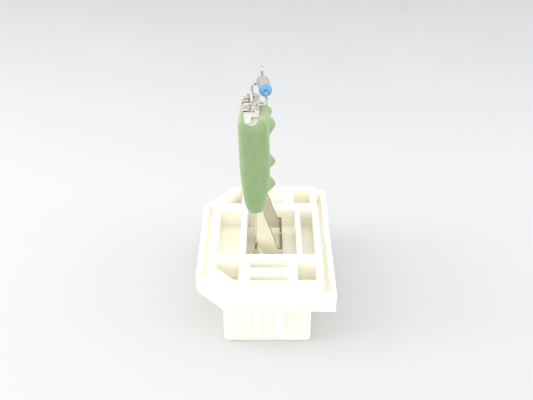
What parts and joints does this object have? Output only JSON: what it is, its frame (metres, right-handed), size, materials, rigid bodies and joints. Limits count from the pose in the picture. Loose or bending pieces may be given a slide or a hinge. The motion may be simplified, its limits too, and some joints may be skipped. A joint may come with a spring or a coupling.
{
  "type": "blower motor resistor",
  "caption": "Plug-in blower resistor: pale moulded housing with terminal cells and plug socket, green coated upright element on slanted terminals, thermal cutoff with a blue end on top.",
  "frame": {"origin": "middle of the bounding box's underside, in the plane of the plug socket's mouth, on which the part stands", "axes": "+Z along the upright element, the way it is pushed into the air duct; -Y towards the end with the finger ribs; +X towards the side without the chamfered corners"},
  "size_m": [0.045, 0.06, 0.0773],
  "materials": {
    "nylon": "natural, slightly translucent, moulded satin",
    "tinned_steel": "stamped and tinned, dull bright",
    "steatite": "unglazed, fine-grained",
    "resistance_ribbon": "oxidised nickel-chrome",
    "sleeve_steel": "plain",
    "silicone_cement": "matte, fine sandy texture",
    "clip_steel": "stamped, dull",
    "plated_brass": "silver-plated, matte grey",
    "lead_wire": "tinned copper wire",
    "pellet_wax": "pressed organic pellet",
    "brass_disc": "plain",
    "spring_steel": "drawn wire",
    "silver_contact": "silver-plated",
    "bushing_ceramic": "white",
    "epoxy": "poured, smooth"
  },
  "bodies": {
    "root": {"housing": "nylon", "terminal_front_right": "tinned_steel", "terminal_rear_right": "tinned_steel", "terminal_front_left": "tinned_steel", "terminal_rear_left": "tinned_steel", "ceramic_core": "steatite", "winding_low": "resistance_ribbon", "winding_middle": "resistance_ribbon", "winding_high": "resistance_ribbon", "splice_sleeves": "sleeve_steel", "cement_coating": "silicone_cement", "fuse_clip_front": "clip_steel", "fuse_clip_rear": "clip_steel", "cutoff_case": "plated_brass", "cutoff_case_lead": "lead_wire", "cutoff_pellet": "pellet_wax", "cutoff_trip_spring": "spring_steel", "cutoff_bushing": "bushing_ceramic", "cutoff_isolated_lead": "lead_wire", "cutoff_seal": "epoxy"},
    "contact_stack": {"cutoff_star_contact": "silver_contact", "cutoff_contact_disc": "brass_disc", "cutoff_main_spring": "spring_steel", "cutoff_pellet_disc": "brass_disc"}
  },
  "joints": [
    {"name": "cutoff_trip", "type": "slide", "parent": "root", "child": "contact_stack", "axis": [-0.0857, 0.9792, -0.184], "range_m": [0, 0.001], "deforming": ["cutoff_pellet", "cutoff_trip_spring"]}
  ]
}
